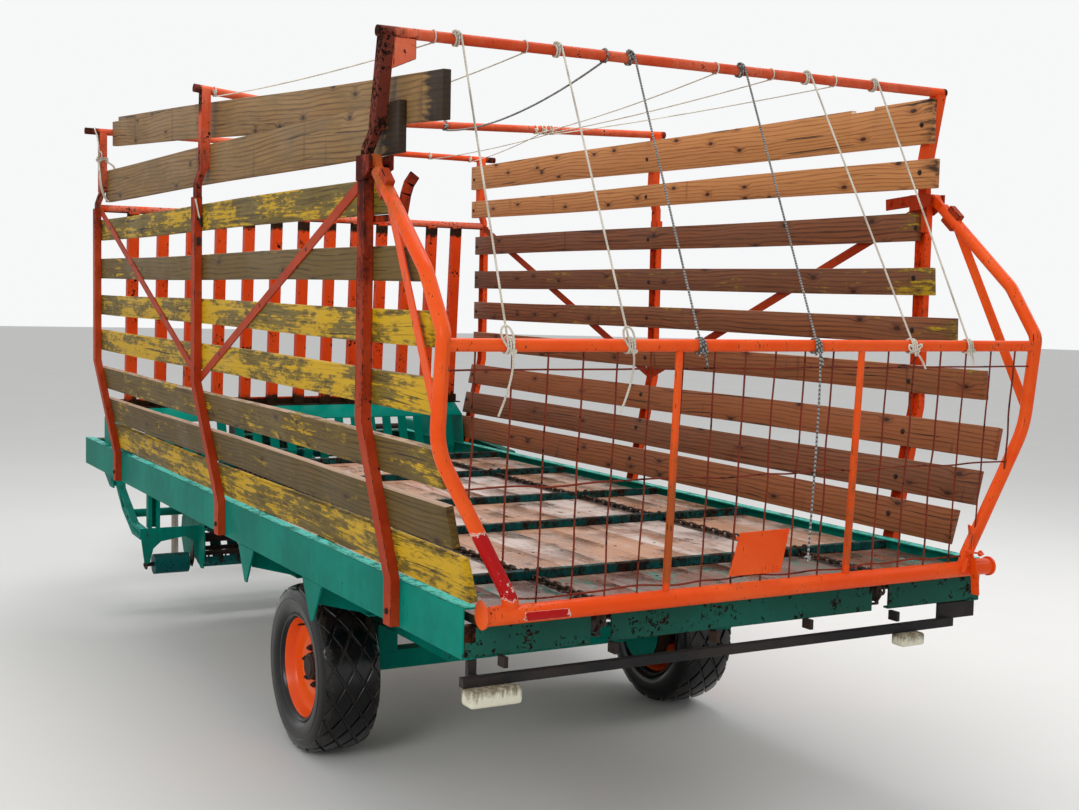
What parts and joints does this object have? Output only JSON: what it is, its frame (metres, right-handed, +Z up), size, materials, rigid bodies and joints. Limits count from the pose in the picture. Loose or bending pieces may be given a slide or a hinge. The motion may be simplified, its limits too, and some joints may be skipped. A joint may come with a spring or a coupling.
{
  "type": "self-loading hay wagon",
  "caption": "Single-axle hay wagon with slatted board sides, hoops, a swinging mesh tailgate, a scraper floor, a tined pickup under the front, a drawbar and a jack.",
  "frame": {"origin": "on the ground, in the middle of the overall box", "axes": "+X the wagon's right side, +Y towards the drawbar, +Z up"},
  "size_m": [2.55, 7.1848, 2.84],
  "materials": {
    "black_paint": "matt",
    "boards_brown": "oiled, weathered",
    "boards_grey": "weathered grey",
    "boards_new": "oiled",
    "boards_yellow": "worn paint on brown wood",
    "chain_steel": "worn, oily",
    "dark_iron": "rusty",
    "gate_orange": "worn gloss",
    "grille_orange": "worn",
    "hoop_red": "faded",
    "lamp_plastic": "aged",
    "mesh_wire": "rusty",
    "pin_steel": "bright",
    "plank_wood": "wet",
    "post_red": "worn, grimy",
    "rim_orange": "worn",
    "roller_teal": "worn",
    "teal_paint": "worn gloss",
    "tyre_rubber": "wet"
  },
  "bodies": {
    "chassis": {"chassis_beams": "teal_paint", "floor_bearers": "teal_paint", "end_members": "teal_paint", "axle_members": "teal_paint", "axle_carriers": "teal_paint", "axle": "teal_paint", "floor_planks": "plank_wood", "floor_shafts": "chain_steel", "scraper_chains": "chain_steel", "scraper_bars": "roller_teal", "side_posts": "post_red", "side_boards_left": "boards_yellow", "side_boards_right": "boards_brown", "upper_boards_left": "boards_grey", "upper_boards_right": "boards_new", "side_braces": "post_red", "hoops": "hoop_red", "front_grille": "grille_orange", "feed_comb": "teal_paint", "feed_throat": "teal_paint", "rake_bearings": "dark_iron", "lift_brackets": "teal_paint", "drawbar_arms": "teal_paint", "drawbar_nose": "teal_paint", "hitch_eye": "dark_iron", "jack": "dark_iron", "jack_foot": "pin_steel", "gearbox": "dark_iron", "pto_stub": "pin_steel", "drive_shaft": "dark_iron", "drive_case": "teal_paint", "gate_pivots": "post_red", "light_bar": "black_paint", "lamps": "lamp_plastic"},
    "wheel_left": {"tyre_left": "tyre_rubber", "rim_left": "rim_orange", "hub_left": "dark_iron"},
    "wheel_right": {"tyre_right": "tyre_rubber", "rim_right": "rim_orange", "hub_right": "dark_iron"},
    "tailgate": {"gate_frame": "gate_orange", "gate_mesh": "mesh_wire", "gate_plate": "gate_orange"},
    "pickup": {"pickup_frame": "teal_paint", "stripper_bands": "roller_teal", "roller_axles": "dark_iron", "crop_guard": "dark_iron"},
    "reel": {"pickup_reel": "dark_iron"},
    "gauge_left": {"gauge_roller_left": "roller_teal"},
    "gauge_right": {"gauge_roller_right": "roller_teal"},
    "rake": {"feed_rake": "roller_teal"}
  },
  "joints": [
    {"name": "left_wheel_spin", "type": "hinge", "parent": "chassis", "child": "wheel_left", "pos_m": [-0.87, -1.7456, 0.35], "axis": [1, 0, 0], "continuous": true},
    {"name": "right_wheel_spin", "type": "hinge", "parent": "chassis", "child": "wheel_right", "pos_m": [0.87, -1.7456, 0.35], "axis": [1, 0, 0], "continuous": true},
    {"name": "tailgate_swing", "type": "hinge", "parent": "chassis", "child": "tailgate", "pos_m": [0, -3.0256, 2.318], "axis": [-1, 0, 0], "range_deg": [0, 95]},
    {"name": "pickup_lift", "type": "hinge", "parent": "chassis", "child": "pickup", "pos_m": [0, 1.5344, 0.72], "axis": [1, 0, 0], "range_deg": [0, 24]},
    {"name": "pickup_reel_spin", "type": "hinge", "parent": "pickup", "child": "reel", "pos_m": [0, 0.9944, 0.43], "axis": [1, 0, 0], "continuous": true},
    {"name": "left_gauge_roller_spin", "type": "hinge", "parent": "pickup", "child": "gauge_left", "pos_m": [-0.79, 0.9544, 0.3], "axis": [1, 0, 0], "continuous": true},
    {"name": "right_gauge_roller_spin", "type": "hinge", "parent": "pickup", "child": "gauge_right", "pos_m": [0.79, 0.9544, 0.3], "axis": [1, 0, 0], "continuous": true},
    {"name": "feed_rake_spin", "type": "hinge", "parent": "chassis", "child": "rake", "pos_m": [0, 1.0944, 0.9], "axis": [1, 0, 0], "continuous": true}
  ]
}
